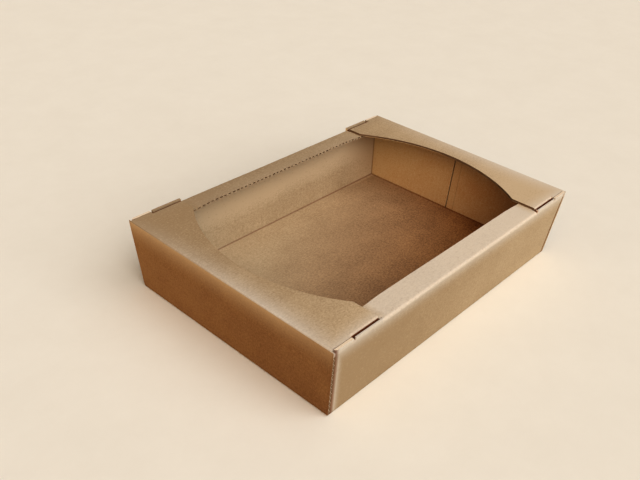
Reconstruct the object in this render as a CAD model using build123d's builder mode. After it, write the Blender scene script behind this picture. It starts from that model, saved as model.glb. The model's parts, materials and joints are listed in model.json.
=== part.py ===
"""One-piece corrugated cardboard tray box with folded rims and two tucked end flaps.

The tray is die-cut from one sheet of single-wall B-flute board and folded up: a base, two long
walls that turn inwards at the top as narrow rims, four corner flaps glued inside the end walls,
and two arched end flaps that lie over the rims and are tucked into slots by their side tabs.

Millimetres.  X runs along the length, Y across the width, Z up.  The origin is the middle of the
underside.
"""

import os
from math import sqrt

from build123d import *

os.makedirs("parts", exist_ok=True)

# ---- driving dimensions ----------------------------------------------------------------------
length = 428.0  # outside, across the tops of the end walls
width = 300.0  # outside, across the tops of the long walls
height = 90.0  # underside to the top face of the end flaps
board = 3.0  # thickness of the corrugated board
lean = 8.0  # how far the foot of each wall stands in from its top edge
fold_radius = 3.0  # outside radius of a creased fold

rim_width = 27.0  # inward reach of each rim, from the outer face of its long wall
seam_gap = 1.5  # between the two corner flaps that meet inside one end wall
seam_offset = 6.0  # middle of that gap from the middle of the width

slot_start = 27.0  # outer face of the end wall to the near end of the tuck slot
notch_width = 3.0  # nick across the top of the long wall where the slot begins
notch_depth = 3.0

flap_depth = 68.0  # end fold to the straight free edge of the end flap
arch_depth = 29.0  # end fold to the crown of the arched cut-out
arch_offset = 5.0  # crown of the arch from the middle of the width
arch_shoulder_right = 36.0  # straight free edge on the -Y side, from the outer face
arch_shoulder_left = 26.0  # straight free edge on the +Y side, from the outer face

tab_drop = 18.0  # how far the tuck tab reaches below the underside of the flap
tab_taper = 8.0  # how far each side of the tab draws in on the way down
tab_corner_radius = 3.0

# ---- clearances ------------------------------------------------------------------------------
flap_side_clearance = 0.5  # between the end flap and the ear of the long wall beside it
ear_clearance = 0.2  # between the swinging end fold and the ear of the long wall behind it
tab_wall_clearance = 0.15  # between the foot of the tab and the leaning long wall
tab_rim_clearance = 0.5  # between the tab and the rim's edge of the slot
tab_end_clearance = 1.0  # between the tab and each end of the slot

# ---- derived places --------------------------------------------------------------------------
half_length = length / 2
half_width = width / 2
end_wall_inside = half_length - board  # inner face of the end wall at its top edge
long_wall_inside = half_width - board  # inner face of the long wall at its top edge
flap_bottom = height - board  # the end flaps lie on the rims at this height
rim_bottom = flap_bottom - board
slot_end = flap_depth + tab_end_clearance
slot_length = slot_end - slot_start
slot_gap = lean * (board + tab_drop) / height + tab_wall_clearance  # open slit outside the tab
tab_outside = long_wall_inside - slot_gap
tab_inside = tab_outside - board
slot_inside = tab_inside - tab_rim_clearance
crest_radius = min(fold_radius, board) - flap_side_clearance  # outside of the tab's fold
margin = 1.0  # overshoot of a cutting solid past the face that it cuts


def leaning_block(inset_x, inset_y, low, high):
    """Return the solid between two heights that keeps a fixed inset from the leaning walls."""
    with BuildPart() as block:
        for level in (low, high):
            foot = lean * (1 - level / height)
            with BuildSketch(Plane.XY.offset(level)):
                Rectangle(length - 2 * (foot + inset_x), width - 2 * (foot + inset_y))
        loft()
    return block.part


# ---- construction solids ---------------------------------------------------------------------
outside_block = leaning_block(0, 0, 0, height)
long_wall_block = leaning_block(board, 0, 0, height)
cavity_block = leaning_block(2 * board, board, board, height)

with BuildPart() as rounded_outside:
    add(outside_block)
    base_folds = rounded_outside.faces().sort_by(Axis.Z)[0].edges()
    end_folds = rounded_outside.faces().sort_by(Axis.Z)[-1].edges().filter_by(Axis.Y)
    fillet(base_folds + end_folds, radius=fold_radius)

with BuildPart() as rounded_rim_block:
    add(leaning_block(0, 0, 0, flap_bottom))
    rim_folds = rounded_rim_block.faces().sort_by(Axis.Z)[-1].edges().filter_by(Axis.X)
    fillet(rim_folds, radius=fold_radius)

with BuildPart() as end_walls:
    add(outside_block)
    add(long_wall_block, mode=Mode.SUBTRACT)

with BuildPart() as corner_flap_seams:
    add(leaning_block(board, 0, board, height))
    with BuildSketch(Plane.XY):
        with Locations((0, seam_offset)):
            Rectangle(length, seam_gap)
    extrude(amount=height, mode=Mode.INTERSECT)

with BuildPart() as above_rims:
    with BuildSketch(Plane.XY.offset(rim_bottom)):
        Rectangle(length - 2 * slot_end, width + 2 * margin)
    extrude(amount=2 * board + margin)
    add(rounded_rim_block.part, mode=Mode.SUBTRACT)

# the board of the end folds is shared out at 45 degrees between end wall and end flap
with BuildPart() as above_mitre:
    with BuildSketch(Plane.XZ):
        with BuildLine():
            Polyline(
                (end_wall_inside, flap_bottom),
                (half_length + board, height + board),
                (end_wall_inside, height + board),
                close=True,
            )
        make_face()
        mirror(about=Plane.YZ)
    extrude(amount=half_width + margin, both=True)

# ---- tray body: base, walls, corner flaps and rims in one folded sheet -------------------------
with BuildPart() as tray_body:
    add(long_wall_block)
    corner_folds = tray_body.edges().filter_by(lambda edge: edge.bounding_box().size.Z > height / 2)
    fillet(corner_folds, radius=fold_radius)
    add(end_walls.part)
    add(cavity_block, mode=Mode.SUBTRACT)
    add(corner_flap_seams.part, mode=Mode.SUBTRACT)

    # seat of the end flaps: the space between the long walls above the flaps' underside
    with BuildSketch(Plane.XY.offset(flap_bottom)):
        Rectangle(2 * end_wall_inside, 2 * long_wall_inside)
    extrude(amount=board + margin, mode=Mode.SUBTRACT)
    add(above_mitre.part, mode=Mode.SUBTRACT)

    # between the slots each long wall stops one board lower and turns inwards as the rim
    with BuildSketch(Plane.XY.offset(rim_bottom)):
        with Locations((0, half_width - (rim_width + board / 2) / 2)):
            Rectangle(length - 2 * slot_start, rim_width - board / 2)
        mirror(about=Plane.XZ)
    extrude(amount=board)
    add(above_rims.part, mode=Mode.SUBTRACT)

    # tuck slots along the rim folds, and the nick in the wall at the start of each slot
    with BuildSketch(Plane.XY.offset(rim_bottom)):
        with GridLocations(
            length - slot_start - slot_end, long_wall_inside + slot_inside, 2, 2
        ):
            Rectangle(slot_length, long_wall_inside - slot_inside)
    extrude(amount=board + margin, mode=Mode.SUBTRACT)
    with BuildSketch(Plane.XY.offset(height - notch_depth)):
        with GridLocations(length - 2 * slot_start - notch_width, 0, 2, 1):
            Rectangle(notch_width, width + 2 * margin)
    extrude(amount=notch_depth + margin, mode=Mode.SUBTRACT)
    add(rounded_outside.part, mode=Mode.INTERSECT)

tray_body.part.label = "tray_body"
export_step(tray_body.part, "parts/tray_body.step")

# ---- end flap over the +X end, with its two tuck tabs ------------------------------------------
free_edge = half_length - flap_depth
tab_start = half_length - slot_start - tab_end_clearance
tab_stop = free_edge + tab_end_clearance
flap_side = long_wall_inside - flap_side_clearance
fold_reach = half_length - (board - ear_clearance) / sqrt(2)  # its mitred corner turns past the ear

with BuildPart() as tuck_tab:
    with BuildSketch(Plane.XZ.offset(tab_inside)) as tab_profile:
        with BuildLine():
            Polyline(
                (tab_start, height - board / 2),
                (tab_start, flap_bottom),
                (tab_start - tab_taper, flap_bottom - tab_drop),
                (tab_stop + tab_taper, flap_bottom - tab_drop),
                (tab_stop, flap_bottom),
                (tab_stop, height - board / 2),
                close=True,
            )
        make_face()
        fillet(tab_profile.vertices().group_by(Axis.Y)[0], radius=tab_corner_radius)
    extrude(amount=board)

with BuildPart() as end_flap_right:
    with BuildSketch(Plane.XY.offset(flap_bottom)):
        with BuildLine():
            crown = (half_length - arch_depth, arch_offset)
            right_shoulder = (free_edge, arch_shoulder_right - half_width)
            left_shoulder = (free_edge, half_width - arch_shoulder_left)
            TangentArc(crown, right_shoulder, tangent=(0, -1))
            TangentArc(crown, left_shoulder, tangent=(0, 1))
            Polyline(
                right_shoulder,
                (free_edge, -tab_outside),
                (half_length - slot_start, -tab_outside),
                (half_length - slot_start, -flap_side),
                (fold_reach, -flap_side),
                (fold_reach, -half_width),
                (half_length, -half_width),
                (half_length, half_width),
                (fold_reach, half_width),
                (fold_reach, flap_side),
                (half_length - slot_start, flap_side),
                (half_length - slot_start, tab_outside),
                (free_edge, tab_outside),
                left_shoulder,
            )
        make_face()
    extrude(amount=board)

    # each tab folds down over a rounded crest into the slot beside its long wall
    add(tuck_tab.part)
    mirror(tuck_tab.part, about=Plane.XZ)
    crests = (
        end_flap_right.edges()
        .filter_by(Axis.X)
        .group_by(Axis.Z)[-1]
        .filter_by(lambda edge: abs(abs(edge.center().Y) - tab_outside) < margin / 10)
    )
    fillet(crests, radius=crest_radius)

    # everything outside the fold line goes to the end wall
    with BuildSketch(Plane.XZ):
        with BuildLine():
            Polyline(
                (end_wall_inside, flap_bottom),
                (half_length + board, height + board),
                (half_length + board, flap_bottom),
                close=True,
            )
        make_face()
    extrude(amount=half_width + margin, both=True, mode=Mode.SUBTRACT)
    add(rounded_outside.part, mode=Mode.INTERSECT)

end_flap_right.part.label = "end_flap_right"
export_step(end_flap_right.part, "parts/end_flap_right.step")

# ---- end flap over the -X end --------------------------------------------------------------------
with BuildPart() as end_flap_left:
    mirror(end_flap_right.part, about=Plane.YZ)

end_flap_left.part.label = "end_flap_left"
export_step(end_flap_left.part, "parts/end_flap_left.step")
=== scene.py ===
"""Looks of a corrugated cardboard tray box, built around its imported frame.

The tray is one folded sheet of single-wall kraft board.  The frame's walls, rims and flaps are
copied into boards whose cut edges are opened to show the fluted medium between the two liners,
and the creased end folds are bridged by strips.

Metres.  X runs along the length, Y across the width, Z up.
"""

import json
from math import atan, cos, radians, sin, sqrt, tau

import bmesh
import bpy
from bpy.props import FloatProperty, FloatVectorProperty, PointerProperty
from mathutils import Euler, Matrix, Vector, noise


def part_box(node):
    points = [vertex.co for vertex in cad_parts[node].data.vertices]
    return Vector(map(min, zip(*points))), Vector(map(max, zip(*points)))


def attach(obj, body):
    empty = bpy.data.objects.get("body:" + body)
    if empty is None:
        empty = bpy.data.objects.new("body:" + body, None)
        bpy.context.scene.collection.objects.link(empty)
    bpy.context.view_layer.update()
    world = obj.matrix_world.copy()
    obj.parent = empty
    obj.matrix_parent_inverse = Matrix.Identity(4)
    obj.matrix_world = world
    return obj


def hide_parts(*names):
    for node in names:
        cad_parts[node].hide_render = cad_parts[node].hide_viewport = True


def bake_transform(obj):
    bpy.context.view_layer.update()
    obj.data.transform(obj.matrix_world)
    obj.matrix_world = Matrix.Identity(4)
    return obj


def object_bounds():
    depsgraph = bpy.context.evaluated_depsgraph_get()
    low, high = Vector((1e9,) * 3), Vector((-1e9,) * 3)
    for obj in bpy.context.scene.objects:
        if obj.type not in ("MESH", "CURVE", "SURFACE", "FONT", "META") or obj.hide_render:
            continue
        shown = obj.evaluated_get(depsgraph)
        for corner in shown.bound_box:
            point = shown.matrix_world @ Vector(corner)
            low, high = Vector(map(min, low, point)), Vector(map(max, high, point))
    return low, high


bl_info = {
    "name": "Cardboard Tray Box",
    "version": (1, 0, 0),
    "blender": (4, 5, 0),
    "location": "3D View > Sidebar > Tray Box",
    "description": "Builds a folded corrugated tray box and its studio around the packed frame",
    "category": "Object",
}

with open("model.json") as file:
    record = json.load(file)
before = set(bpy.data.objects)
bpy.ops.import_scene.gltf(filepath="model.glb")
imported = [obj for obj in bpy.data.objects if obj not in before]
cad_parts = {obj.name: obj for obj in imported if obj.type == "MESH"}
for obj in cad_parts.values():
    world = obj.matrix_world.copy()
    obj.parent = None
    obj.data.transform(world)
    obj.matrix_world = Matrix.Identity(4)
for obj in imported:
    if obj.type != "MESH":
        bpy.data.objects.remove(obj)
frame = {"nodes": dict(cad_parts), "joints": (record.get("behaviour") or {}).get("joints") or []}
cad_low, cad_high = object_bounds()

MM = 0.001
WELD = 0.01 * MM  # frame corners nearer than this are one corner
OVERSHOOT = 1 * MM  # reach of a cutting solid past the face that it cuts
DIVISION = 14 * MM  # widest stretch of board left undivided, so that it can settle

# numbers of the materials in a board's list; the inner end liner carries painted light, the outer
# end liner painted shade
LINER_X, LINER_INNER_END, LINER_OUTER_END, CUT_EDGE, MEDIUM_AND_FLUTE_SHADE = range(5)

# ---- sizes read from the frame -----------------------------------------------------------------
hinges = {joint["child"]: Vector(joint["pos_m"]) for joint in frame["joints"]}
flap_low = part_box("end_flap_right")[0]
HALF_LENGTH = hinges["right_flap"].x
HEIGHT = hinges["right_flap"].z
HALF_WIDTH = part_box("tray_body")[1].y
FREE_EDGE = flap_low.x
ENDS = {"left": -1, "right": 1}


def linear(hex_colour):
    """Turn an sRGB hex colour such as #C8A070 into linear red, green and blue."""
    channels = [int(hex_colour[i : i + 2], 16) / 255 for i in (1, 3, 5)]
    return tuple(c / 12.92 if c <= 0.04045 else ((c + 0.055) / 1.055) ** 2.4 for c in channels)


def size_property(name, description, millimetres):
    """Return a length property whose default is given in millimetres."""
    return FloatProperty(
        name=name,
        description=description,
        default=millimetres * MM,
        min=0.0,
        subtype="DISTANCE",
        unit="LENGTH",
        precision=5,
    )


def colour_property(name, description, hex_colour):
    """Return a colour property whose default is an sRGB hex value."""
    return FloatVectorProperty(
        name=name,
        description=description,
        default=linear(hex_colour),
        size=3,
        min=0.0,
        max=1.0,
        subtype="COLOR",
    )


def strength_property(name, description, strength):
    """Return a light's strength as a property."""
    return FloatProperty(name=name, description=description, default=strength, min=0.0)


class BoardSettings(bpy.types.PropertyGroup):
    """Sizes of the board and of the folded sheet."""

    board: size_property("Board", "Thickness of the corrugated board", 3.0)
    liner: size_property("Liner", "Thickness of each liner as it shows at a cut edge", 0.42)
    medium: size_property("Medium", "Thickness of the fluted paper between the liners", 0.3)
    flute_pitch: size_property("Flute pitch", "Distance from one flute to the next", 6.5)
    flute_depth: size_property("Flute depth", "How far a cut edge can be seen into", 3.5)
    lean: size_property("Lean", "How far the foot of each wall stands in from its top", 8.0)
    rim_width: size_property("Rim width", "Inward reach of each rim from the long wall", 27.0)
    slot_start: size_property("Slot start", "End of the tray to the near end of a tuck slot", 27.0)
    crease_radius: size_property("Crease radius", "Outside radius of the end folds", 1.6)
    crease_reach: size_property("Crease reach", "Length of board that bends at each end fold", 7.0)
    side_clearance: size_property("Side clearance", "Gap between an end flap and an ear", 0.5)
    slot_opening: size_property("Slot opening", "How far a tab has crushed the slot's lip", 1.5)
    rim_rise: size_property("Rim rise", "How far the rims spring up along their cut edge", 2.0)
    settle: size_property("Settle", "How far the panels wander from flat", 0.45)


class KraftColours(bpy.types.PropertyGroup):
    """Colours of the kraft board."""

    liner_light: colour_property("Liner light", "Pale fibres of the kraft liner", "#C4B397")
    liner_dark: colour_property("Liner dark", "Dark fibres of the kraft liner", "#9C886B")
    # a paler copy of the liner for the inner end faces: painted light where the flaps shade them
    inner_end_painted_light_pale: colour_property("Inner end light", "Pale fibres of the corner flaps", "#D4BE94")
    inner_end_painted_light_dark: colour_property("Inner end dark", "Dark fibres of the corner flaps", "#BE9060")
    # a darker, browner copy of the liner for the end walls' outsides: painted shade
    outer_end_painted_shade_pale: colour_property("Outer end light", "Pale fibres of the end walls", "#A27A4B")
    outer_end_painted_shade_dark: colour_property("Outer end dark", "Dark fibres of the end walls", "#7D552F")
    # stretched, scuffed liner along the folds, widened into a broad painted highlight
    fold_wear_and_highlight: colour_property("Fold wear", "Stretched, scuffed liner along a fold", "#D6D5D0")
    outer_fold_wear_and_highlight: colour_property("Outer fold wear", "Stretched liner atop an end wall", "#C8AC84")
    # painted shade in the depth of the tuck slots, on the tabs and the walls beside them
    slot: colour_property("Slot", "Depth of a tuck slot", "#7E4A26")
    fleck: colour_property("Fleck", "Bark flecks in the liner", "#7A5636")
    # painted shade along the inner folds and in the grooves beside the left end's cut edges
    crease: colour_property("Crease", "Shaded line pressed along an inner fold", "#6B3714")
    # painted shade inside the base, browner towards +X and -Y
    base_shade_pale: colour_property("Inside light", "Pale fibres inside the base", "#A46E30")
    base_shade_dark: colour_property("Inside dark", "Dark fibres inside the base", "#683600")
    flute_shade: colour_property("Flute shade", "Depth of the flutes behind a cut edge", "#6B4524")
    cut_light: colour_property("Cut edge", "Freshly cut paper at an edge", "#EAE2D4")
    cut_dark: colour_property("Cut shade", "Fluted medium inside an edge", "#CDBB9E")


class StudioSettings(bpy.types.PropertyGroup):
    """Floor and lights of the studio."""

    floor: colour_property("Floor", "Colour of the plain floor", "#E6E7E1")
    floor_shade: colour_property("Floor shade", "Faint clouding of the floor", "#DEDED7")
    key: colour_property("Key", "Colour of the soft key light", "#FFFFFF")
    overhead: colour_property("Overhead", "Colour of the light from above", "#FFFFFF")
    bounce: colour_property("Bounce", "Warm light thrown back at the near end", "#FFCE9B")
    ambient: colour_property("Ambient", "Warm light from all round", "#F4E4D2")
    key_strength: strength_property("Key strength", "Strength of the key light", 2.5)
    overhead_strength: strength_property("Overhead strength", "Strength from above", 0.35)
    bounce_strength: strength_property("Bounce strength", "Strength of the warm light", 1.2)
    ambient_strength: strength_property("Ambient strength", "Strength from all round", 0.26)


# ---- mesh helpers ------------------------------------------------------------------------------
def cleaned_copy(node):
    """Return a bmesh of a frame node with welded corners and its flat faces joined up."""
    shape = bmesh.new()
    shape.from_mesh(frame["nodes"][node].data)
    bmesh.ops.remove_doubles(shape, verts=shape.verts, dist=WELD)
    bmesh.ops.dissolve_limit(
        shape, angle_limit=radians(0.5), verts=shape.verts, edges=shape.edges
    )
    return shape


def sweep(shape, path, inward, up, near, far, half_height, offsets=None):
    """Add a closed bar that follows a path along a cut edge; its near face is the cut one."""
    rings = []
    for i, point in enumerate(path):
        middle = point + up * (offsets[i] if offsets else 0.0)
        corners = ((near, -1), (far, -1), (far, 1), (near, 1))
        rings.append(
            [shape.verts.new(middle + inward[i] * d + up * (half_height * s)) for d, s in corners]
        )
    for a, b in zip(rings, rings[1:]):
        for k in range(4):
            side = shape.faces.new((a[k], a[(k + 1) % 4], b[(k + 1) % 4], b[k]))
            side.material_index = 0 if k == 3 else 1
    shape.faces.new(rings[0][::-1])
    shape.faces.new(rings[-1])


def prism(shape, profile, low, high, axis):
    """Add a closed prism: a profile of points, drawn at low and high along one axis."""
    rings = []
    for place in (low, high):
        ring = []
        for point in profile:
            corner = Vector(point)
            corner[axis] = place
            ring.append(shape.verts.new(corner))
        rings.append(ring)
    count = len(profile)
    for k in range(count):
        following = (k + 1) % count
        shape.faces.new((rings[0][k], rings[0][following], rings[1][following], rings[1][k]))
    shape.faces.new(rings[0][::-1])
    shape.faces.new(rings[1])


def finished_object(name, shape, materials):
    """Turn a bmesh into a named object in the scene."""
    bmesh.ops.recalc_face_normals(shape, faces=shape.faces)
    mesh = bpy.data.meshes.new(name)
    shape.to_mesh(mesh)
    shape.free()
    if "custom_normal" in mesh.attributes:
        mesh.attributes.remove(mesh.attributes["custom_normal"])
    for material in materials:
        mesh.materials.append(material)
    made = bpy.data.objects.new(name, mesh)
    bpy.context.scene.collection.objects.link(made)
    return made


def carved(board, cutter):
    """Cut one object's solid out of another, and remove the cutter."""
    carve = board.modifiers.new("carve", "BOOLEAN")
    carve.operation = "DIFFERENCE"
    carve.solver = "EXACT"
    carve.object = cutter
    graph = bpy.context.evaluated_depsgraph_get()
    mesh = bpy.data.meshes.new_from_object(board.evaluated_get(graph))
    board.modifiers.clear()
    board.data = mesh
    bpy.data.objects.remove(cutter)


def settled(point, sizes):
    """Return where a point of the sheet comes to lie: board is never quite flat."""
    ripple, rise = 9, 5  # bends of the sheet per metre, along it and upwards
    spot = Vector((point.x * ripple, point.y * ripple, point.z * rise))
    stiff_foot = 25 * MM  # below this height the base holds the walls
    reach = sizes.settle * min(1.0, max(0.0, point.z / stiff_foot))
    # plain noise, which needs no seed: noise_vector is seeded from the clock
    x = point.x + reach * noise.noise(spot + Vector((3, 7, 1)))
    y = point.y + reach * noise.noise(spot + Vector((41, 13, 29)))
    z = point.z
    inset = HALF_WIDTH - sizes.board - abs(point.y)
    if z > HEIGHT - 2 * sizes.board - WELD and inset > 0:
        # the rims spring up between the end flaps that hold them down
        held, freed = 2 * MM, 24 * MM
        ramp = min(1.0, max(0.0, (FREE_EDGE - held - abs(point.x)) / freed))
        z += sizes.rim_rise * min(1.0, inset / (sizes.rim_width - sizes.board)) * ramp
    return Vector(
        (
            min(max(x, cad_low.x), cad_high.x),
            min(max(y, cad_low.y), cad_high.y),
            min(z, cad_high.z),
        )
    )


def finish_board(board, sizes):
    """Divide a board finely enough to settle, round its shading and leave sharp cut edges."""
    shape = bmesh.new()
    shape.from_mesh(board.data)
    for axis, limit in ((0, HALF_LENGTH), (1, HALF_WIDTH), (2, HEIGHT)):
        place = -limit + DIVISION / 2
        while place < limit:
            across = Vector((0, 0, 0))
            across[axis] = 1
            bmesh.ops.bisect_plane(
                shape,
                geom=shape.verts[:] + shape.edges[:] + shape.faces[:],
                plane_co=across * place,
                plane_no=across,
                dist=WELD,
            )
            place += DIVISION
    bmesh.ops.triangulate(shape, faces=shape.faces)
    for vertex in shape.verts:
        vertex.co = settled(vertex.co, sizes)
    shape.to_mesh(board.data)
    shape.free()
    smooth_faces(board)


def smooth_faces(piece, angle=32):
    """Shade a piece smoothly, with edges sharper than the angle left crisp."""
    piece.data.polygons.foreach_set("use_smooth", [True] * len(piece.data.polygons))
    piece.data.set_sharp_from_angle(angle=radians(angle))


# ---- the cut edges -----------------------------------------------------------------------------
class CutEdge:
    """One cut edge of the board: where it runs, which way is into the board, and its flutes."""

    def __init__(self, path, inward, up, across, depth, surface=MEDIUM_AND_FLUTE_SHADE, crushed=False):
        self.path = [Vector(p) for p in path]
        self.inward = [Vector(n).normalized() for n in inward]
        self.up = Vector(up).normalized()
        self.across = across  # the axis along which one flute follows the next
        self.depth = depth  # none where the knife has pressed the edge shut
        self.surface = surface  # number of the material that the edge shows
        self.crushed = crushed  # only the middle of each flute is still open

    def resampled(self, step):
        """Return points and inward directions spaced closely along the edge."""
        points, ways = [], []
        for i, (a, b) in enumerate(zip(self.path, self.path[1:])):
            pieces = max(1, round((b - a).length / step))
            for k in range(pieces + (i == len(self.path) - 2)):
                share = k / pieces
                points.append(a.lerp(b, share))
                ways.append(self.inward[i].lerp(self.inward[i + 1], share).normalized())
        return points, ways

    def add_hollow(self, shape, sizes):
        """Add the solid that opens the edge between the two liners."""
        if not self.depth:
            return
        if not self.crushed:
            half = sizes.board / 2 - sizes.liner
            sweep(shape, self.path, self.inward, self.up, -OVERSHOOT, self.depth, half)
            return
        start, stop = self.path
        step = (stop - start).normalized() * sizes.flute_pitch
        mean_opening, variation, start_share = 0.55, 0.25, 0.2  # as shares of the flute pitch
        tallest = 1.4 * MM  # half the height that a flute opened all the way would have
        for k in range(int((stop - start).length / sizes.flute_pitch)):
            varied = noise.noise(Vector((7.3 * k, start.y * 90, 0.5)))
            opening = mean_opening + variation * varied
            first = start + step * (k + start_share)
            ends = [first, first + step * opening]
            half = tallest * opening
            sweep(shape, ends, self.inward, self.up, -OVERSHOOT, self.depth, half)

    def add_medium(self, shape, sizes):
        """Add the fluted paper that shows in the open edge."""
        if not self.depth or self.crushed:
            return
        points_per_flute = 12
        points, ways = self.resampled(sizes.flute_pitch / points_per_flute)
        reach = sizes.board / 2 - sizes.liner - sizes.medium / 2
        offsets = [reach * cos(tau * point[self.across] / sizes.flute_pitch) for point in points]
        near, far = 0.15 * MM, self.depth + 0.2 * MM
        before = len(shape.verts)
        sweep(shape, points, ways, self.up, near, far, sizes.medium / 2, offsets)
        shape.verts.ensure_lookup_table()
        for vertex in shape.verts[before:]:
            vertex.co = settled(vertex.co, sizes)

    def depth_of(self, point, sizes):
        """Return how deep behind this cut edge a point lies, or None if it lies elsewhere."""
        margin = 0.1 * MM
        for i, (a, b) in enumerate(zip(self.path, self.path[1:])):
            along = b - a
            share = (point - a).dot(along) / along.length_squared
            if not -0.02 <= share <= 1.02:
                continue
            away = point - (a + along * share)
            if abs(away.dot(self.up)) > sizes.board / 2 + margin:
                continue
            inwards = away.dot(self.inward[i])
            if -margin <= inwards <= self.depth + margin:
                return inwards
        return None


def lean_at(z, sizes):
    """Return how far the outside of a wall stands in from its top edge at a height."""
    return sizes.lean * (1 - z / HEIGHT)


def tray_cut_edges(sizes):
    """Return the cut edges of the tray: rims, ears, and both sides of each end wall."""
    half_board = sizes.board / 2
    rim_z = HEIGHT - sizes.board - half_board
    rim_end = HALF_LENGTH - sizes.slot_start
    edges = []
    for side in (-1, 1):
        rim_y = side * (HALF_WIDTH - sizes.rim_width)
        outwards = (0, side, 0)
        ends = [(-rim_end + 1 * MM, rim_y, rim_z), (rim_end - 1 * MM, rim_y, rim_z)]
        # pressed nearly shut, so that only separate openings are left
        depth = 0.6 * sizes.flute_depth
        edges.append(
            CutEdge(ends, [outwards] * 2, (0, 0, 1), 0, depth, LINER_X, crushed=True)
        )
        for end in (-1, 1):
            ear_y = side * (HALF_WIDTH - half_board)
            ear = [
                (end * x, ear_y, HEIGHT)
                for x in (HALF_LENGTH - 2 * sizes.board, rim_end + 0.4 * MM)
            ]
            edges.append(CutEdge(ear, [(0, 0, -1)] * 2, (0, 1, 0), 0, 0.0, CUT_EDGE))
            wall = []
            for z in (sizes.board, HEIGHT - sizes.crease_reach - 0.5 * MM):
                inset = lean_at(z, sizes)
                x = end * (HALF_LENGTH - inset - half_board)
                wall.append((x, side * (HALF_WIDTH - inset), z))
            # open at the left end, pressed shut at the right one
            depth, surface = (0.2 * sizes.flute_depth, MEDIUM_AND_FLUTE_SHADE) if end < 0 else (0.0, LINER_X)
            edges.append(CutEdge(wall, [(0, -side, 0)] * 2, (1, 0, 0), 2, depth, surface))
    return edges


def arch_profile():
    """Return the shape of the arched cut-out as crown x, crown y, and the two shoulders' y."""
    top = [
        v.co
        for v in frame["nodes"]["end_flap_right"].data.vertices
        if v.co.z > HEIGHT - WELD and v.co.x < HALF_LENGTH - 10 * MM
    ]
    crown = max((p for p in top if abs(p.y) < 0.8 * HALF_WIDTH), key=lambda p: p.x)
    rising = [p.y for p in top if abs(p.y) < 0.9 * HALF_WIDTH and p.x < FREE_EDGE + WELD]
    return crown, max(y for y in rising if y < crown.y), min(y for y in rising if y > crown.y)


def arch_points(count):
    """Return points on the arched cut-out's top edge and the directions into the board."""
    crown, right_shoulder, left_shoulder = arch_profile()
    points, ways = [], []
    for shoulder, steps in ((right_shoulder, range(count)), (left_shoulder, range(count + 1))):
        half_chord = abs(shoulder - crown.y)
        rise = crown.x - FREE_EDGE
        radius = (half_chord**2 + rise**2) / (2 * rise)
        middle = Vector((crown.x - radius, crown.y, HEIGHT))
        for k in steps:
            share = k / count
            if shoulder == left_shoulder:
                y = crown.y + half_chord * share
            else:
                y = shoulder + half_chord * share
            x = middle.x + sqrt(radius**2 - (y - crown.y) ** 2)
            points.append(Vector((x, y, HEIGHT)))
            ways.append((points[-1] - middle).normalized())
    return points, ways


def flap_cut_edges(end, sizes):
    """Return the cut edges of one end flap: the free edge with its arch, and both sides."""
    half_board = sizes.board / 2
    flap_y = HALF_WIDTH - sizes.board - sizes.side_clearance
    crest_y = flap_y - 3.5 * MM  # where the tabs' rounded crests begin
    points, ways = arch_points(24)
    straight = Vector((1, 0, 0))
    corners = [
        Vector((FREE_EDGE, y, HEIGHT)) for y in (-crest_y, points[0].y, points[-1].y, crest_y)
    ]
    points = corners[:2] + points[1:-1] + corners[2:]
    shoulders = [(straight + way).normalized() for way in (ways[0], ways[-1])]
    ways = [straight, shoulders[0], *ways[1:-1], shoulders[1], straight]
    drop = Vector((0, 0, -half_board))
    mirror = Vector((end, 1, 1))
    path = [(point + drop) * mirror for point in points]
    inward = [way * mirror for way in ways]
    edges = [CutEdge(path, inward, (0, 0, 1), 0, 0.25 * sizes.flute_depth)]
    side_ends = (
        HALF_LENGTH - sizes.slot_start + 0.4 * MM,
        HALF_LENGTH - sizes.crease_reach - 1 * MM,
    )
    for side in (-1, 1):
        along = [(end * x, side * flap_y, HEIGHT - half_board) for x in side_ends]
        edges.append(CutEdge(along, [(0, -side, 0)] * 2, (0, 0, 1), 0, 0.0))
    return edges


# ---- nodes and materials -----------------------------------------------------------------------
def add_node(tree, kind, settings=None, inputs=None):
    """Add a node; an input takes a value, a node's output, or a node for its first output."""
    node = tree.nodes.new(kind)
    for name, value in (settings or {}).items():
        setattr(node, name, value)
    for name, value in (inputs or {}).items():
        if isinstance(value, bpy.types.Node):
            value = value.outputs[0]
        if isinstance(value, bpy.types.NodeSocket):
            tree.links.new(value, node.inputs[name])
        else:
            node.inputs[name].default_value = value
    return node


def new_material(name):
    """Return an empty material with its output, and its node tree."""
    material = bpy.data.materials.new(name)
    material.use_nodes = True
    material.node_tree.nodes.clear()
    return material, material.node_tree


def with_alpha(colour):
    """Return a colour property as red, green, blue and alpha."""
    return (*colour, 1.0)


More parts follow.
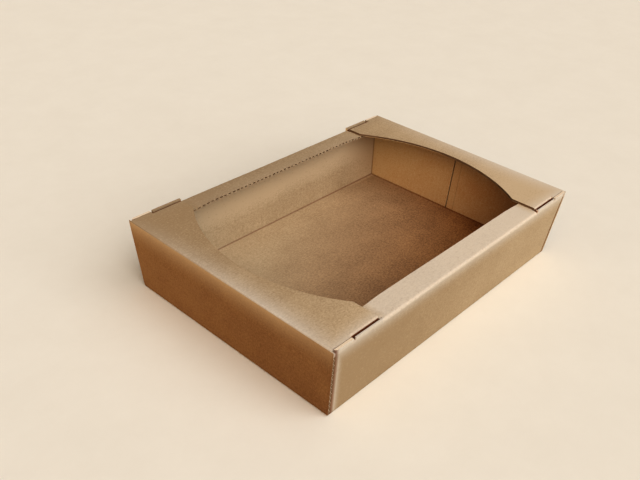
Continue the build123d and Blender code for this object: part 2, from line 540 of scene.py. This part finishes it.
class KraftLiner:
    """Unbleached kraft linerboard, machine-made and matte.

    It gives the eye a warm tan with long pale fibres, clouding, a few bark flecks and a faint
    washboard of the flutes below; a paler, scuffed line where it is stretched over a fold, widened
    into a broad painted highlight that is strongest on the -Y side; and painted shade along the
    inner folds.  Painted light and shade also slope along the tray: paler on the tops and outsides
    towards
    +X and on the -Y side's tops, darker inside towards +X, painted shade on the outside of the
    ends and inside the base towards +X and -Y, and painted light on the insides of the ends.
    """

    def __init__(self, across, sizes, colours):
        self.across = across  # the axis along which one flute follows the next
        self.sizes = sizes
        self.colours = colours
        name = "kraft_liner_flutes_across_" + "XYZ"[across]
        self.material, self.tree = new_material(name)
        self.place = add_node(self.tree, "ShaderNodeTexCoord").outputs["Object"]
        self.add_distances()
        self.add_textures()
        self.add_fades()

    def add_distances(self):
        """Add the distances along each axis, and those from the tray's middle."""
        tree = self.tree
        axes = add_node(tree, "ShaderNodeSeparateXYZ", inputs={0: self.place}).outputs
        self.x, self.y, self.z = axes
        self.out_x, self.out_y = [
            add_node(tree, "ShaderNodeMath", {"operation": "ABSOLUTE"}, {0: axis})
            for axis in (self.x, self.y)
        ]
        # distances from the middle that stay the same all the way down a leaning wall
        foot = add_node(
            tree,
            "ShaderNodeMath",
            {"operation": "MULTIPLY_ADD"},
            {0: self.z, 1: -self.sizes.lean / HEIGHT, 2: self.sizes.lean},
        )
        self.beyond_x, self.beyond_y = [
            add_node(tree, "ShaderNodeMath", {"operation": "ADD"}, {0: out, 1: foot})
            for out in (self.out_x, self.out_y)
        ]

    def add_textures(self):
        """Add the paper's grain, stretched along the machine's run, and the flutes' washboard."""
        textures = {}
        for name, size, stretch, detail, roughness in (
            ("clouds", 38 * MM, 1.6, 2.0, 0.55),
            # fibres are a few tenths of a millimetre wide: drawn 1.6 mm wide so that they show
            ("fibres", 1.6 * MM, 3.2, 4.0, 0.7),
            ("grit", 1.7 * MM, 1.2, 2.0, 0.55),
            ("specks", 2.6 * MM, 1.4, 1.0, 0.55),
        ):
            stretched = add_node(
                self.tree,
                "ShaderNodeVectorMath",
                {"operation": "MULTIPLY"},
                {0: self.place, 1: (1 / (size * stretch), 1 / size, 1 / size)},
            )
            textures[name] = add_node(
                self.tree,
                "ShaderNodeTexNoise",
                inputs={
                    "Vector": stretched,
                    "Scale": 1.0,
                    "Detail": detail,
                    "Roughness": roughness,
                },
            )
        turn = add_node(
            self.tree,
            "ShaderNodeMath",
            {"operation": "MULTIPLY"},
            {0: (self.x, self.y, self.z)[self.across], 1: tau / self.sizes.flute_pitch},
        )
        textures["washboard"] = add_node(
            self.tree, "ShaderNodeMath", {"operation": "COSINE"}, {0: turn}
        )
        self.textures = textures

    def add_fades(self):
        """Add fades along one distance, from none at the first place to full at the second."""
        self.fades = {}
        for name, distance, none, full in (
            ("top", self.z, HEIGHT - 7.5 * MM, HEIGHT - 5 * MM),
            ("outside", self.beyond_y, HALF_WIDTH - 1.5 * MM, HALF_WIDTH - 0.5 * MM),
            ("far_wall", self.y, HALF_WIDTH - 16 * MM, HALF_WIDTH - 15 * MM),
            # raised, far_end and far_wall place the painted light on the far long wall's inside
            ("raised", self.z, 31.7 * MM, 65 * MM),
            ("far_end", self.x, 133.3 * MM, 216.7 * MM),
            # paler towards -Y: sets how strong the painted highlight along the folds is, on the
            # side facing the key light
            ("painted_highlight_side", self.y, 170.6 * MM, -123.5 * MM),
            # between_flaps and rim_top place the painted light on the rims between the end flaps
            ("between_flaps", self.out_x, FREE_EDGE + 1.5 * MM, FREE_EDGE - 11 * MM),
            ("rim_top", self.z, HEIGHT - 8.9 * MM, HEIGHT - 3.3 * MM),
            ("left_end", self.x, 25 * MM, -25 * MM),
            ("clear_of_corner", self.y, -130 * MM, -80 * MM),
        ):
            self.fades[name] = add_node(
                self.tree,
                "ShaderNodeMapRange",
                inputs={"Value": distance, "From Min": none, "From Max": full},
            )

    def nearness(self, first, second, line, reach, power=2.0):
        """Return 1 on a fold line, falling to 0 at the reach: softly, or sharply below power 1."""
        spot = add_node(self.tree, "ShaderNodeCombineXYZ", inputs={0: first, 1: second})
        away = add_node(
            self.tree,
            "ShaderNodeVectorMath",
            {"operation": "DISTANCE"},
            {0: spot, 1: (*line, 0.0)},
        ).outputs["Value"]
        closeness = add_node(
            self.tree,
            "ShaderNodeMapRange",
            inputs={"Value": away, "From Min": reach, "From Max": 0.0},
        )
        return add_node(
            self.tree, "ShaderNodeMath", {"operation": "POWER"}, {0: closeness, 1: power}
        )

    def grain(self):
        """Return the mixed grain of the paper; it wanders about 1.4."""
        mixed = 0.0
        for name, share in (("clouds", 0.6), ("fibres", 0.9), ("washboard", 0.025), ("grit", 1.3)):
            mixed = add_node(
                self.tree,
                "ShaderNodeMath",
                {"operation": "MULTIPLY_ADD"},
                {0: self.textures[name], 1: share, 2: mixed},
            )
        return mixed

    def tone(self, grain):
        """Return 0 where dark fibres show and 1 where pale ones do, with painted light and shade.
        """
        tree, fades, x, y = self.tree, self.fades, self.x, self.y
        if self.across == 0:
            # the grain shows less on the long walls' outer faces
            mean_grain, evenness = 1.4, 0.36
            evened = add_node(
                tree,
                "ShaderNodeMath",
                {"operation": "MULTIPLY"},
                {0: fades["outside"], 1: evenness},
            )
            grain = add_node(tree, "ShaderNodeMix", inputs={0: evened, 2: grain, 3: mean_grain})
            shown, lit = [
                add_node(tree, "ShaderNodeMath", {"operation": operation}, {0: first, 1: second})
                for operation, first, second in (
                    ("MAXIMUM", fades["top"], fades["outside"]),
                    ("ADD", fades["raised"], fades["far_end"]),
                )
            ]
            hidden = add_node(
                tree, "ShaderNodeMath", {"operation": "SUBTRACT"}, {0: 1.0, 1: shown}
            )
            far_inside = add_node(
                tree,
                "ShaderNodeMath",
                {"operation": "MULTIPLY"},
                {0: fades["far_wall"], 1: hidden},
            )
            # painted light and shade: paler towards +X on the tops and outsides, darker towards +X
            # inside, paler towards -Y on the tops, darker on the outsides, and painted light on
            # the far long wall's inside, higher up and towards +X, where the rims and flap shade
            # it
            painted_shading_rows = (
                (x, shown, 2.3),
                (x, 1.0, -1.0),
                (y, fades["top"], -2.6),
                (fades["outside"], 1.0, -0.3),
                (far_inside, lit, 1.0),
            )
        else:
            # painted shade on the end faces, darker towards -Y
            painted_shading_rows = ((y, 1.0, 3.0 if self.across == 1 else 1.2),)
        tone = grain
        # each painted shading term is the product of its row
        for first, second, share in painted_shading_rows:
            painted_shading_term = add_node(
                tree, "ShaderNodeMath", {"operation": "MULTIPLY"}, {0: first, 1: second}
            )
            tone = add_node(
                tree,
                "ShaderNodeMath",
                {"operation": "MULTIPLY_ADD"},
                {0: painted_shading_term, 1: share, 2: tone},
            )
        return add_node(
            tree, "ShaderNodeMath", {"operation": "SUBTRACT", "use_clamp": True}, {0: tone, 1: 0.9}
        )

    def wear_and_highlight(self):
        """Return how far each place is stretched and scuffed, widened along the folds into a
        painted highlight; the strongest fold near it shows.
        """
        tree, fades, board = self.tree, self.fades, self.sizes.board
        end_fold = self.nearness(self.out_x, self.z, (HALF_LENGTH, HEIGHT), 34 * MM)
        # the end fold's painted highlight is weaker near the -Y corner
        end_share = add_node(
            tree,
            "ShaderNodeMath",
            {"operation": "MULTIPLY_ADD"},
            {0: fades["clear_of_corner"], 1: 0.25, 2: 0.5},
        )
        if self.across == 2:
            folds = ((end_fold, end_share, 1.25),)
        else:
            rim_fold = self.nearness(self.out_y, self.z, (HALF_WIDTH, HEIGHT), 26 * MM)
            corner_line = (HALF_LENGTH - 2.6 * board, HALF_WIDTH)
            corner_fold = self.nearness(self.beyond_x, self.beyond_y, corner_line, 9 * MM)
            # end and rim folds: scuffed liner widened into painted highlight; the rims between the
            # flaps: painted light; the left corners' fold: painted highlight
            folds = (
                (end_fold, end_share, 1.0),
                (rim_fold, 1.0, 0.72),
                (fades["between_flaps"], fades["rim_top"], 0.52),
                (corner_fold, fades["left_end"], 0.38),
            )
        wear_and_highlight = self.strongest(folds)
        # the painted highlight is strongest on the -Y side, towards the key light
        if self.across != 2:
            wear_and_highlight = add_node(
                tree,
                "ShaderNodeMath",
                {"operation": "MULTIPLY"},
                {0: wear_and_highlight, 1: fades["painted_highlight_side"]},
            )
        fibre_breakup = add_node(
            tree,
            "ShaderNodeMath",
            {"operation": "MULTIPLY_ADD"},
            {0: self.textures["fibres"], 1: 0.5, 2: 0.7},
        )
        return add_node(
            tree,
            "ShaderNodeMath",
            {"operation": "MULTIPLY", "use_clamp": True},
            {0: wear_and_highlight, 1: fibre_breakup},
        )

    def strongest(self, rows):
        """Return the largest of some products of a line, a fade and a share."""
        largest = 0.0
        for line, fade, share in rows:
            faded = line
            for factor in (fade, share):
                faded = add_node(
                    self.tree,
                    "ShaderNodeMath",
                    {"operation": "MULTIPLY"},
                    {0: faded, 1: factor},
                )
            largest = add_node(
                self.tree, "ShaderNodeMath", {"operation": "MAXIMUM"}, {0: largest, 1: faded}
            )
        return largest

    def shade(self):
        """Return the painted shade lines along the inner folds and in the grooves beside the left
        end's cut edges.
        """
        board, beyond_x, beyond_y, z = self.sizes.board, self.beyond_x, self.beyond_y, self.z
        face_x, face_y = HALF_LENGTH - 2 * board, HALF_WIDTH - board
        lines = [
            (self.nearness(first, second, line, 1.6 * MM, 0.5), 1.0, 0.5)
            for first, second, line in (
                (beyond_x, beyond_y, (face_x, face_y)),
                (beyond_y, z, (face_y, board)),
                (beyond_x, z, (face_x, board)),
            )
        ]
        groove_line = (HALF_LENGTH - 1.2 * board, HALF_WIDTH - 0.3 * board)
        groove = self.nearness(beyond_x, beyond_y, groove_line, 4.2 * MM, 1.0)
        lines.append((groove, self.fades["left_end"], 0.85))
        if self.across == 1:
            # a faint dark line runs 5 mm beside the seam of the corner flaps
            from_crease = add_node(
                self.tree, "ShaderNodeMath", {"operation": "ADD"}, {0: self.y, 1: 5 * MM}
            )
            from_crease = add_node(
                self.tree, "ShaderNodeMath", {"operation": "ABSOLUTE"}, {0: from_crease}
            )
            beside_seam = add_node(
                self.tree,
                "ShaderNodeMapRange",
                inputs={"Value": from_crease, "From Min": 0.8 * MM, "From Max": 0.0},
            )
            lines.append((beside_seam, 1.0, 0.35))
        return self.strongest(lines)

    def masked(self, amount, limits):
        """Return an amount where each distance lies within its limits, and none elsewhere."""
        for distance, low, high in limits:
            between = add_node(
                self.tree,
                "ShaderNodeMath",
                {"operation": "COMPARE"},
                {0: distance, 1: (low + high) / 2, 2: (high - low) / 2},
            )
            amount = add_node(
                self.tree, "ShaderNodeMath", {"operation": "MULTIPLY"}, {0: amount, 1: between}
            )
        return amount

    def painted_base_shade(self):
        """Return how far the base's painted shade shows, browner towards +X and -Y: on the tray's
        inside only.
        """
        board = self.sizes.board
        browner = add_node(
            self.tree,
            "ShaderNodeMath",
            {"operation": "MULTIPLY_ADD"},
            {0: self.x, 1: 1.6, 2: 0.42},
        )
        browner = add_node(
            self.tree,
            "ShaderNodeMath",
            {"operation": "MULTIPLY_ADD", "use_clamp": True},
            {0: self.y, 1: -3.6, 2: browner},
        )
        return self.masked(
            browner,
            (
                (self.z, 0.5 * board, 1.5 * board),
                (self.beyond_x, 0.0, HALF_LENGTH - 0.5 * board),
                (self.beyond_y, 0.0, HALF_WIDTH - 0.5 * board),
            ),
        )

    def painted_slot_shade(self):
        """Return where the slots' painted shade lies: in the depth of the tuck slots, on the tabs
        and the walls beside them.
        """
        board, slot_opening = self.sizes.board, self.sizes.slot_opening
        lip = HALF_WIDTH - board
        tilt = 0.0017  # the slots' shade reaches less far up on the +Y side
        tilted = add_node(
            self.tree,
            "ShaderNodeMath",
            {"operation": "MULTIPLY_ADD"},
            {0: self.y, 1: tilt, 2: self.z},
        )
        slot_end = HALF_LENGTH - self.sizes.slot_start + 0.2 * MM
        return self.masked(
            1.0,
            (
                (self.out_x, FREE_EDGE - 1.2 * MM, slot_end),
                (self.out_y, lip - 2.35 * MM, lip + slot_opening + 0.1 * MM),
                (tilted, HEIGHT - 2.3 * board, HEIGHT - 1.85 * MM),
            ),
        )

    def colour(self):
        """Return the liner's colour: two papers, with the base's painted shade, scuffed folds with
        painted highlight, flecks, painted shade lines and the slots' painted shade laid over them.
        """
        tree, colours = self.tree, self.colours
        light, dark, wear_and_highlight_colour = (
            (colours.liner_light, colours.liner_dark, colours.fold_wear_and_highlight),
            (colours.inner_end_painted_light_pale, colours.inner_end_painted_light_dark, colours.fold_wear_and_highlight),
            (colours.outer_end_painted_shade_pale, colours.outer_end_painted_shade_dark, colours.outer_fold_wear_and_highlight),
        )[self.across]
        grain = self.grain()
        base_shade_tone = add_node(
            tree,
            "ShaderNodeMath",
            {"operation": "MULTIPLY_ADD", "use_clamp": True},
            {0: grain, 1: 1.6, 2: -1.74},
        )
        fleck_start, fleck_strength = 0.67, 0.2
        flecks = add_node(
            tree,
            "ShaderNodeMapRange",
            inputs={
                "Value": self.textures["specks"],
                "From Min": fleck_start,
                "From Max": fleck_start + 1 / 9,
                "To Max": fleck_strength,
            },
        )
        colour, inside = [
            add_node(
                tree,
                "ShaderNodeMix",
                {"data_type": "RGBA"},
                {0: tone, 6: with_alpha(first), 7: with_alpha(second)},
            ).outputs[2]
            for tone, first, second in (
                (self.tone(grain), dark, light),
                (base_shade_tone, colours.base_shade_dark, colours.base_shade_pale),
            )
        ]
        for amount, paint in (
            (self.painted_base_shade(), inside),
            (self.wear_and_highlight(), with_alpha(wear_and_highlight_colour)),
            (flecks, with_alpha(colours.fleck)),
            (self.shade(), with_alpha(colours.crease)),
            (self.painted_slot_shade(), with_alpha(colours.slot)),
        ):
            colour = add_node(
                tree, "ShaderNodeMix", {"data_type": "RGBA"}, {0: amount, 6: colour, 7: paint}
            ).outputs[2]
        return colour

    def finished(self):
        """Return the material, with its relief and its shader."""
        tree, fibres = self.tree, self.textures["fibres"]
        relief = add_node(tree, "ShaderNodeMath", {"operation": "MULTIPLY"}, {0: fibres, 1: 0.35})
        relief, roughness = [
            add_node(
                tree,
                "ShaderNodeMath",
                {"operation": "MULTIPLY_ADD"},
                {0: texture, 1: share, 2: base},
            )
            for texture, share, base in (
                (self.textures["washboard"], 0.05, relief),
                (fibres, 0.2, 0.74),
            )
        ]
        bump = {"Strength": 0.35, "Distance": 0.35 * MM, "Height": relief}
        shader = add_node(
            tree,
            "ShaderNodeBsdfPrincipled",
            inputs={
                "Base Color": self.colour(),
                "IOR": 1.5,
                "Roughness": roughness,
                "Specular IOR Level": 0.2,
                "Normal": add_node(tree, "ShaderNodeBump", inputs=bump),
            },
        )
        add_node(tree, "ShaderNodeOutputMaterial", inputs={"Surface": shader})
        return self.material


def cut_board(name, light, dark):
    """Die-cut kraft board: torn fibres, paler at the edge than the liner, dull and rough."""
    material, tree = new_material(name)
    place = add_node(tree, "ShaderNodeTexCoord").outputs["Object"]
    fray_grain = 1.1 * MM
    fray = add_node(
        tree,
        "ShaderNodeTexNoise",
        inputs={"Vector": place, "Scale": 1 / fray_grain, "Detail": 3.0, "Roughness": 0.7},
    )
    colour = add_node(
        tree,
        "ShaderNodeMix",
        {"data_type": "RGBA"},
        {0: fray, 6: with_alpha(dark), 7: with_alpha(light)},
    ).outputs[2]
    bump = {"Strength": 0.6, "Distance": 0.2 * MM, "Height": fray}
    shader = add_node(
        tree,
        "ShaderNodeBsdfPrincipled",
        inputs={
            "Base Color": colour,
            "Roughness": 0.92,
            "Specular IOR Level": 0.25,
            "Normal": add_node(tree, "ShaderNodeBump", inputs=bump),
        },
    )
    add_node(tree, "ShaderNodeOutputMaterial", inputs={"Surface": shader})
    return material


def floor_paper(studio):
    """Seamless background paper, matte and faintly clouded."""
    material, tree = new_material("seamless_background_paper")
    place = add_node(tree, "ShaderNodeTexCoord").outputs["Object"]
    clouds = add_node(
        tree,
        "ShaderNodeTexNoise",
        inputs={"Vector": place, "Scale": 14.0, "Detail": 8.0, "Roughness": 0.72},
    )
    colour = add_node(
        tree,
        "ShaderNodeMix",
        {"data_type": "RGBA"},
        {0: clouds, 6: with_alpha(studio.floor_shade), 7: with_alpha(studio.floor)},
    ).outputs[2]
    shader = add_node(
        tree,
        "ShaderNodeBsdfPrincipled",
        inputs={"Base Color": colour, "Roughness": 0.9, "Specular IOR Level": 0.2},
    )
    add_node(tree, "ShaderNodeOutputMaterial", inputs={"Surface": shader})
    return material


def board_materials(sizes, colours):
    """Return the three liners, the cut edge and the fluted medium, made once for all pieces."""
    names = ["kraft_liner_flutes_across_" + axis for axis in "XYZ"]
    found = [bpy.data.materials.get(name) for name in names]
    if None in found:
        found = [KraftLiner(axis, sizes, colours).finished() for axis in range(3)]
    edge = bpy.data.materials.get("cut_kraft_edge")
    if edge is None:
        edge = cut_board("cut_kraft_edge", colours.cut_light, colours.cut_dark)
    # the fluted medium and the faces deep behind each cut edge are darkened with painted flute
    # shade
    medium = bpy.data.materials.get("fluted_medium_and_flute_shade")
    if medium is None:
        medium = cut_board("fluted_medium_and_flute_shade", colours.liner_dark, colours.flute_shade)
    return [*found, edge, medium]


def assign_materials(piece, edges, sizes):
    """Give each face the liner whose flutes run the right way, and cut edges their own."""
    for face in piece.data.polygons:
        centre, normal = face.center, face.normal
        depths = [(edge.depth_of(centre, sizes), edge.surface) for edge in edges]
        depths = [pair for pair in depths if pair[0] is not None]
        if depths:
            depth, surface = min(depths)
            face.material_index = surface if depth < 0.5 * MM else MEDIUM_AND_FLUTE_SHADE
        # end faces take the liner with painted light inside and the one with painted shade outside
        elif abs(normal.x) > 0.6 and centre.z < HEIGHT - 2 * MM:
            inner = abs(centre.x) < HALF_LENGTH - lean_at(centre.z, sizes) - sizes.board
            face.material_index = LINER_INNER_END if inner else LINER_OUTER_END
        else:
            face.material_index = LINER_X


# ---- operators ---------------------------------------------------------------------------------
class TRAYBOX_OT_tray_sheet(bpy.types.Operator):
    """Build the base, walls, glued corner flaps and rims"""

    bl_idname = "traybox.tray_sheet"
    bl_label = "Tray Sheet"

    def execute(self, context):
        sizes, colours = context.scene.tray_board, context.scene.tray_colours
        materials = board_materials(sizes, colours)
        edges = tray_cut_edges(sizes)
        board = finished_object("tray_sheet", cleaned_copy("tray_body"), materials)
        hollow = bmesh.new()
        for edge in edges:
            edge.add_hollow(hollow, sizes)
        for end in (-1, 1):
            self.add_crease_room(hollow, end, sizes)
            self.add_slot_lips(hollow, end, sizes)
        carved(board, finished_object("hollow", hollow, []))
        assign_materials(board, edges, sizes)
        finish_board(board, sizes)
        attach(board, "tray")
        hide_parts("tray_body")

        flutes = bmesh.new()
        for edge in edges:
            edge.add_medium(flutes, sizes)
        medium = finished_object("tray_flutes", flutes, materials[CUT_EDGE:])
        smooth_faces(medium, 50)
        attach(medium, "tray")
        return {"FINISHED"}

    def add_crease_room(self, hollow, end, sizes):
        """Cut the end wall's top away, where the bending crease takes its place."""
        low, high = HEIGHT - sizes.crease_reach, HEIGHT + OVERSHOOT
        outside = HALF_LENGTH + 2 * OVERSHOOT
        inner = [HALF_LENGTH - sizes.board - lean_at(z, sizes) for z in (low, high)]
        profile = [
            (end * inner[0], 0, low),
            (end * inner[1], 0, high),
            (end * outside, 0, high),
            (end * outside, 0, low),
        ]
        prism(hollow, profile, -HALF_WIDTH - OVERSHOOT, HALF_WIDTH + OVERSHOOT, 1)

    def add_slot_lips(self, hollow, end, sizes):
        """Cut back the long walls' lips, crushed by the tabs and hardly so on the +Y side."""
        for side, opening in ((-1, sizes.slot_opening), (1, 0.1 * sizes.slot_opening)):
            inner = HALF_WIDTH - sizes.board
            lip = [
                (0, side * y, z)
                for y, z in (
                    (inner - 0.3 * MM, HEIGHT - 2 * sizes.board),
                    (inner, HEIGHT - 2 * sizes.board),
                    (inner + opening, HEIGHT - 0.5 * sizes.board),
                    (inner + opening, HEIGHT + OVERSHOOT),
                    (inner - 0.3 * MM, HEIGHT + OVERSHOOT),
                )
            ]
            reach = (end * (FREE_EDGE - 0.9 * MM), end * (HALF_LENGTH - sizes.slot_start))
            prism(hollow, lip, *sorted(reach), 0)


class TRAYBOX_OT_end_flaps(bpy.types.Operator):
    """Build the two arched end flaps with their tuck tabs"""

    bl_idname = "traybox.end_flaps"
    bl_label = "End Flaps"

    def execute(self, context):
        sizes, colours = context.scene.tray_board, context.scene.tray_colours
        materials = board_materials(sizes, colours)
        for side, end in ENDS.items():
            node = "end_flap_" + side
            edges = flap_cut_edges(end, sizes)
            board = finished_object(node + "_board", cleaned_copy(node), materials)
            hollow = bmesh.new()
            for edge in edges:
                edge.add_hollow(hollow, sizes)
            # the bending crease takes the place of the board beside the fold
            near, far = HALF_LENGTH - sizes.crease_reach, HALF_LENGTH + 2 * OVERSHOOT
            low, high = HEIGHT - 2 * sizes.board, HEIGHT + OVERSHOOT
            profile = [
                (end * x, 0, z) for x, z in ((near, low), (far, low), (far, high), (near, high))
            ]
            prism(hollow, profile, -HALF_WIDTH - OVERSHOOT, HALF_WIDTH + OVERSHOOT, 1)
            carved(board, finished_object("hollow", hollow, []))
            assign_materials(board, edges, sizes)
            finish_board(board, sizes)
            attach(board, side + "_flap")
            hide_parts(node)

            flutes = bmesh.new()
            for edge in edges:
                edge.add_medium(flutes, sizes)
            # both slots, so that the narrow faces and the sides show the same paper
            medium = finished_object(side + "_flap_flutes", flutes, [materials[MEDIUM_AND_FLUTE_SHADE]] * 2)
            smooth_faces(medium, 50)
            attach(medium, side + "_flap")
        return {"FINISHED"}


class TRAYBOX_OT_end_creases(bpy.types.Operator):
    """Build the creased strips that join the end walls to the end flaps"""

    bl_idname = "traybox.end_creases"
    bl_label = "End Creases"

    def execute(self, context):
        sizes, colours = context.scene.tray_board, context.scene.tray_colours
        materials = board_materials(sizes, colours)
        for side, end in ENDS.items():
            strip = self.strip(side, end, sizes, materials)
            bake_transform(strip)
        return {"FINISHED"}

    def section(self, sizes):
        """Return the outer and inner faces of the crease, as distances from the fold's corner.

        Each point is how far it lies inwards from the end of the tray, and how far below the top.
        """
        reach, board, radius = sizes.crease_reach, sizes.board, sizes.crease_radius
        slope = sizes.lean / HEIGHT
        middle = 0.5 * (reach + radius)
        centre = radius * (slope + sqrt(1 + slope**2))
        outer = [(slope * reach, reach), (slope * middle, middle)]
        for turn in (-atan(slope), *(radians(t) for t in (10, 22, 34, 45, 57, 68, 79, 90))):
            outer.append((centre - radius * cos(turn), radius * (1 - sin(turn))))
        outer += [(middle, 0.0), (reach, 0.0)]
        inner = [(board + slope * z, z) for z in (reach, middle, board + 0.8 * MM)]
        for share in (0.15, 0.35, 0.55, 0.75, 0.95, 1.1, 1.25, 1.4):
            down = max(0.0, 1 - share) * 0.5 * MM
            along = max(0.0, share - 0.6) * 0.5 * MM
            inner.append((board + along, board + down))
        inner += [(middle, board), (reach, board)]
        return outer, inner

    def strip(self, side, end, sizes, materials):
        """Return one crease as a closed solid, narrower on the flap's side of the fold."""
        outer, inner = self.section(sizes)
        flap_y = HALF_WIDTH - sizes.board - sizes.side_clearance
        count = 24
        across = [-HALF_WIDTH] + [flap_y * (2 * k / count - 1) for k in range(count + 1)]
        across.append(HALF_WIDTH)
        turning = 6  # the last section that the full width reaches

        def present(i, j):
            """Return whether the strip has a face at this place: its ends are notched."""
            if not (0 <= i < len(outer) - 1 and 0 <= j < len(across) - 1):
                return False
            return i < turning or 0 < j < len(across) - 2

        shape = bmesh.new()
        corners = {}

        def corner(i, j, layer):
            """Return the corner at a place of the outer or inner layer, made only once."""
            if (i, j, layer) not in corners:
                inset, below = (outer, inner)[layer][i]
                y = across[j]
                if abs(y) > flap_y + WELD:
                    y -= (1 if y > 0 else -1) * lean_at(HEIGHT - below, sizes)
                place = Vector((end * (HALF_LENGTH - inset), y, HEIGHT - below))
                corners[i, j, layer] = shape.verts.new(settled(place, sizes))
            return corners[i, j, layer]

        for i in range(len(outer) - 1):
            for j in range(len(across) - 1):
                if not present(i, j):
                    continue
                square = ((i, j), (i + 1, j), (i + 1, j + 1), (i, j + 1))
                for layer in (0, 1):
                    shape.faces.new([corner(a, b, layer) for a, b in square])
                beside = ((i, j - 1), (i + 1, j), (i, j + 1), (i - 1, j))
                for k, cell in enumerate(beside):
                    if not present(*cell):
                        a, b = square[k], square[(k + 1) % 4]
                        shape.faces.new(
                            (corner(*a, 0), corner(*b, 0), corner(*b, 1), corner(*a, 1))
                        )
        strip = finished_object(side + "_end_crease", shape, materials)
        assign_materials(strip, [], sizes)
        smooth_faces(strip)
        return strip


class TRAYBOX_OT_studio(bpy.types.Operator):
    """Build the plain floor, the soft lights and the camera"""

    bl_idname = "traybox.studio"
    bl_label = "Studio"

    def execute(self, context):
        studio = context.scene.tray_studio
        floor = bmesh.new()
        half_width, flat_radius, sweep_up = 9.0, 2.0, 0.016
        bmesh.ops.create_grid(floor, x_segments=48, y_segments=48, size=half_width)
        for vertex in floor.verts:
            # flat round the tray, then rising gently like a paper backdrop
            beyond = min(max(vertex.co.length - flat_radius, 0.0), half_width - flat_radius)
            vertex.co.z = sweep_up * beyond**2
        ground = finished_object("floor", floor, [floor_paper(studio)])
        smooth_faces(ground)

        for name, colour, strength, softness, height_angle, round_angle in (
            ("key", studio.key, studio.key_strength, 74, 43, 268),
            ("overhead", studio.overhead, studio.overhead_strength, 60, 72, 270),
            ("bounce", studio.bounce, studio.bounce_strength, 60, 40, 218),
        ):
            sun = bpy.data.lights.new(name, "SUN")
            sun.energy = strength
            sun.color = colour
            sun.angle = radians(softness)
            lamp = bpy.data.objects.new(name, sun)
            turn = (radians(90 - height_angle), 0, radians(round_angle - 270))
            lamp.rotation_euler = Euler(turn)
            context.scene.collection.objects.link(lamp)

        world = bpy.data.worlds.new("studio")
        world.use_nodes = True
        world.node_tree.nodes.clear()
        light = add_node(
            world.node_tree,
            "ShaderNodeBackground",
            inputs={"Color": with_alpha(studio.ambient), "Strength": studio.ambient_strength},
        )
        add_node(world.node_tree, "ShaderNodeOutputWorld", inputs={"Surface": light})
        context.scene.world = world

        lens = bpy.data.cameras.new("camera")
        lens.lens = 42.9
        lens.sensor_width = 36.0
        camera = bpy.data.objects.new("camera", lens)
        camera.location = (-0.6076, -0.4655, 0.5328)
        camera.rotation_euler = Euler((radians(57.0), radians(-3.01), radians(-47.25)))
        context.scene.collection.objects.link(camera)
        context.scene.camera = camera

        context.scene.view_settings.view_transform = "Standard"
        context.scene.view_settings.gamma = 0.8
        return {"FINISHED"}


class TRAYBOX_PT_tray_box(bpy.types.Panel):
    """Buttons that build the tray box"""

    bl_idname = "TRAYBOX_PT_tray_box"
    bl_label = "Tray Box"
    bl_space_type = "VIEW_3D"
    bl_region_type = "UI"
    bl_category = "Tray Box"

    def draw(self, context):
        for operator in OPERATORS:
            self.layout.operator(operator.bl_idname)
        scene = context.scene
        for group in (scene.tray_board, scene.tray_colours, scene.tray_studio):
            column = self.layout.column()
            for name in group.__annotations__:
                column.prop(group, name)


OPERATORS = (
    TRAYBOX_OT_tray_sheet,
    TRAYBOX_OT_end_flaps,
    TRAYBOX_OT_end_creases,
    TRAYBOX_OT_studio,
)
CLASSES = (BoardSettings, KraftColours, StudioSettings, *OPERATORS, TRAYBOX_PT_tray_box)


def register():
    """Register the classes and the settings of the scene."""
    for cls in CLASSES:
        bpy.utils.register_class(cls)
    bpy.types.Scene.tray_board = PointerProperty(type=BoardSettings)
    bpy.types.Scene.tray_colours = PointerProperty(type=KraftColours)
    bpy.types.Scene.tray_studio = PointerProperty(type=StudioSettings)


def unregister():
    """Remove what register added."""
    del bpy.types.Scene.tray_studio
    del bpy.types.Scene.tray_colours
    del bpy.types.Scene.tray_board
    for cls in reversed(CLASSES):
        bpy.utils.unregister_class(cls)


def main():
    """Build the tray box and its studio."""
    register()
    bpy.ops.traybox.tray_sheet()
    bpy.ops.traybox.end_flaps()
    bpy.ops.traybox.end_creases()
    bpy.ops.traybox.studio()


if __name__ == "__main__":
    main()
